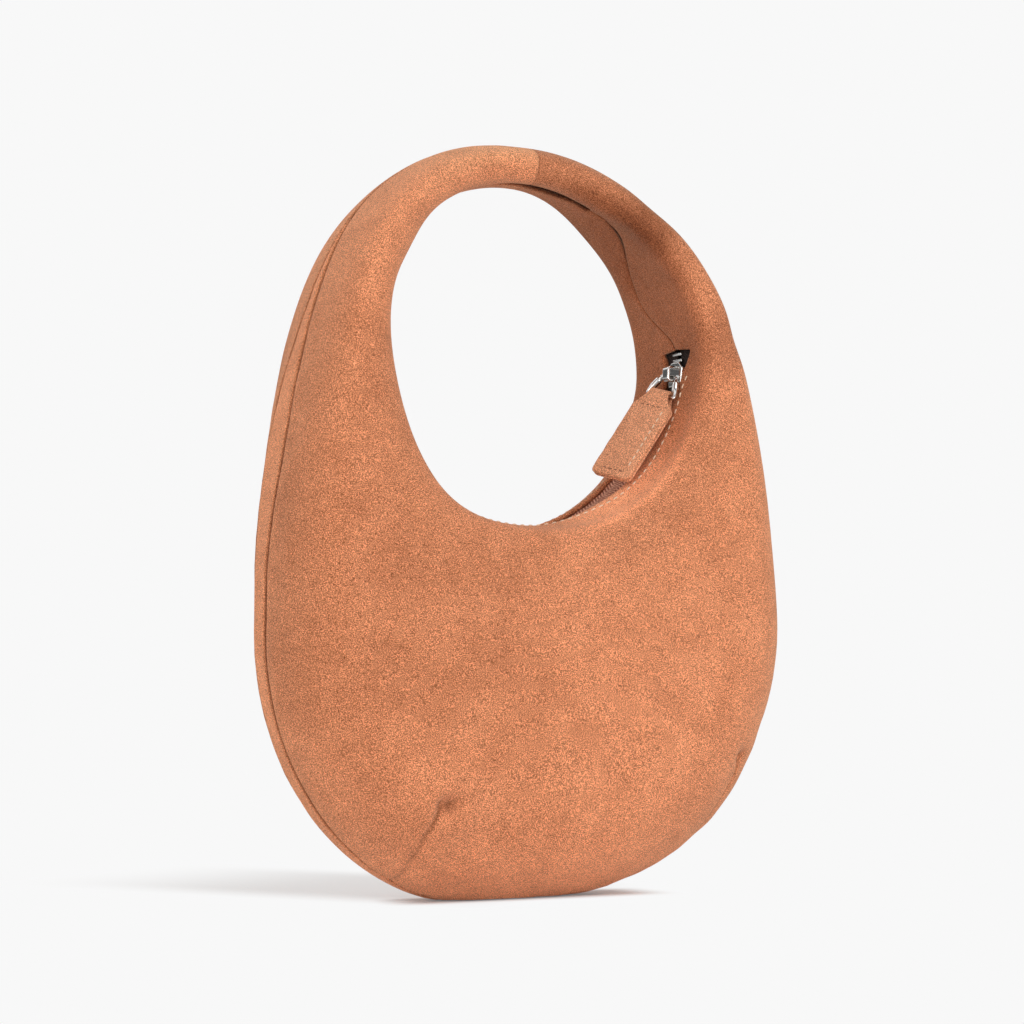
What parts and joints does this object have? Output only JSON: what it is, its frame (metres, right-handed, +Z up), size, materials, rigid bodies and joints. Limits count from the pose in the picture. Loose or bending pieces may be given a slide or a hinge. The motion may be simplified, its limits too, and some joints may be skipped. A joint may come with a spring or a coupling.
{
  "type": "half moon handbag",
  "caption": "Egg-shaped suede top-handle handbag with a round hand hole, a gusset round the pouch and a metal zip along the hole's lower rim, with a folded suede pull tab.",
  "frame": {"origin": "middle of the base, on the surface that the bag stands on", "axes": "+X to the right across the front, +Y towards the back, +Z up"},
  "size_m": [0.2028, 0.074, 0.2798],
  "materials": {
    "suede": "napped suede",
    "lining": "plain woven",
    "padding": "dark felt",
    "stiffener": "matte",
    "zip_tape": "twill tape",
    "nickel": "polished nickel"
  },
  "bodies": {
    "bag": {"front_panel": "suede", "back_panel": "suede", "gusset": "suede", "front_lining": "lining", "back_lining": "lining", "front_interlining": "padding", "back_interlining": "padding", "handle_core": "padding", "base_stiffener": "stiffener", "zip_tape_front": "zip_tape", "zip_tape_back": "zip_tape", "zip_teeth_front": "nickel", "zip_teeth_back": "nickel", "zip_top_stop_upper": "nickel", "zip_top_stop_lower": "nickel", "zip_bottom_stop": "nickel"},
    "slider": {"slider_body": "nickel", "slider_crown": "nickel"},
    "link": {"pull_link": "nickel"},
    "tab": {"pull_tab": "suede"}
  },
  "joints": [
    {"name": "zip_slide", "type": "hinge", "parent": "bag", "child": "slider", "pos_m": [0, 0, 0.1995], "axis": [0, 1, 0], "range_deg": [0, 164], "deforming": ["zip_teeth_front", "zip_teeth_back"]},
    {"name": "link_swing", "type": "hinge", "parent": "slider", "child": "link", "pos_m": [0.06325, -0.006, 0.19599], "axis": [-0.3319, 0.9118, 0.2419], "range_deg": [0, 75]},
    {"name": "tab_swing", "type": "hinge", "parent": "link", "child": "tab", "pos_m": [0.05928, -0.00548, 0.1886], "axis": [-0.3319, 0.9118, 0.2419], "range_deg": [0, 45]}
  ]
}
